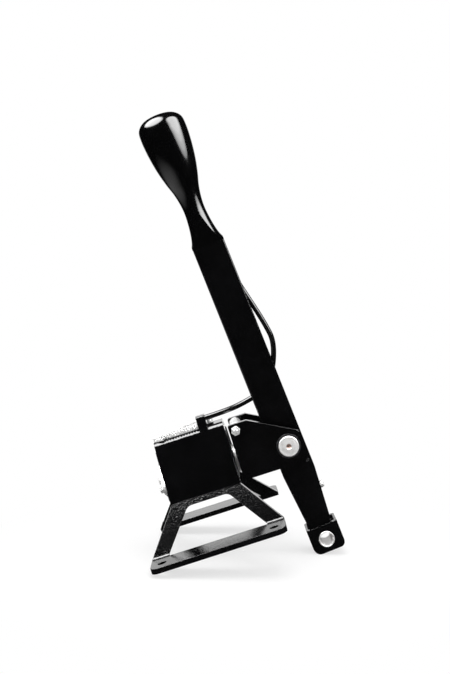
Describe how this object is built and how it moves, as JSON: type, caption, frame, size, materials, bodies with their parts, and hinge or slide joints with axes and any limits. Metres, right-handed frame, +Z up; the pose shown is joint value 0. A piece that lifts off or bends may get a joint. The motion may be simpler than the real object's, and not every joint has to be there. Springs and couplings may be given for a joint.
{
  "type": "short shifter",
  "caption": "Upright gear lever with a drop-shaped knob on a bolt-down bent-sheet base; it rolls and pitches, and a lifted knob pulls a cable that frees a sprung reverse lock.",
  "frame": {"origin": "middle of the four foot holes, on the underside of the feet", "axes": "+X forward in the car, from the box towards the lever; +Y to the car's left; +Z up from the floor the feet are bolted to"},
  "size_m": [0.1793, 0.18, 0.464],
  "materials": {
    "powder_coat": "satin black powder coat on steel, light orange peel",
    "zinc_plate": "bright zinc plate",
    "bright_steel": "ground and polished steel",
    "black_steel": "black oxide",
    "spring_steel": "drawn spring wire, zinc plated",
    "bush_bronze": "sintered bronze",
    "knob_gloss": "polished black acetal",
    "cable_jacket": "smooth black jacket"
  },
  "bodies": {
    "base": {"base_frame": "powder_coat", "front_bearing_plate": "zinc_plate", "rear_bearing_plate": "zinc_plate", "rear_bearing_flange": "zinc_plate", "flange_screws": "zinc_plate", "front_bearing_outer": "bright_steel", "rear_bearing_outer": "bright_steel", "centring_tab": "powder_coat", "gate_stop": "powder_coat", "cable_stop_block": "powder_coat", "stop_block_screw": "zinc_plate", "stop_foot_screw": "zinc_plate", "cable_ferrule_block": "zinc_plate", "rocker_bush": "zinc_plate", "lock_spring": "spring_steel", "inner_wire": "spring_steel", "cable_base_span": "cable_jacket"},
    "yoke": {"yoke_right_plate": "powder_coat", "yoke_left_plate": "powder_coat", "yoke_rear_plate": "powder_coat", "roll_shaft": "bright_steel", "front_bearing_inner": "bright_steel", "rear_bearing_inner": "bright_steel", "shaft_circlip": "black_steel", "shaft_spacers": "zinc_plate", "select_arm": "zinc_plate", "arm_set_screw": "black_steel", "centring_spring": "spring_steel", "cross_bolt": "zinc_plate", "cross_nut": "zinc_plate", "cross_spacer": "zinc_plate", "pivot_pin": "bright_steel", "pivot_washers": "black_steel", "pivot_circlip": "black_steel", "pivot_spacers": "zinc_plate", "cable_yoke_span": "cable_jacket"},
    "lever": {"lever": "powder_coat", "lever_plug": "powder_coat", "lever_dowel": "black_steel", "pivot_bushes": "bush_bronze", "cable_ferrule_lever": "zinc_plate", "fork_end": "powder_coat", "fork_sleeve": "bright_steel", "fork_clamp_screw": "zinc_plate", "cable_lever_run": "cable_jacket", "lift_spring": "spring_steel"},
    "knob": {"knob": "knob_gloss", "lift_rod": "bright_steel", "wire_nipple": "bright_steel"},
    "rocker": {"rocker_plate": "zinc_plate", "rocker_pin": "bright_steel", "wire_clamp": "zinc_plate", "lock_pawl": "zinc_plate"}
  },
  "joints": [
    {"name": "select_roll", "type": "hinge", "parent": "base", "child": "yoke", "pos_m": [0, 0, 0.0625], "axis": [1, 0, 0], "range_deg": [-6.5, 6.5], "stiffness_Nm_per_rad": 8, "deforming": ["centring_spring", "cable_base_span"]},
    {"name": "shift_pitch", "type": "hinge", "parent": "yoke", "child": "lever", "pos_m": [0.09, 0, 0.0625], "axis": [0, 1, 0], "range_deg": [-8, 8], "deforming": ["cable_yoke_span"]},
    {"name": "knob_lift", "type": "slide", "parent": "lever", "child": "knob", "axis": [-0.0698, 0, 0.9976], "range_m": [0, 0.0035], "stiffness_N_per_m": 2000, "springref_m": -0.006, "deforming": ["lift_spring"]},
    {"name": "lock_rocker", "type": "hinge", "parent": "base", "child": "rocker", "pos_m": [-0.0255, 0.004, 0.104], "axis": [0, 0, 1], "range_deg": [0, 16.5], "stiffness_Nm_per_rad": 0.3, "springref_deg": -17.19, "deforming": ["lock_spring", "inner_wire"]}
  ],
  "couplings": [
    {"joint": "lock_rocker", "follows": "knob_lift", "rad_per_m": 80}
  ]
}
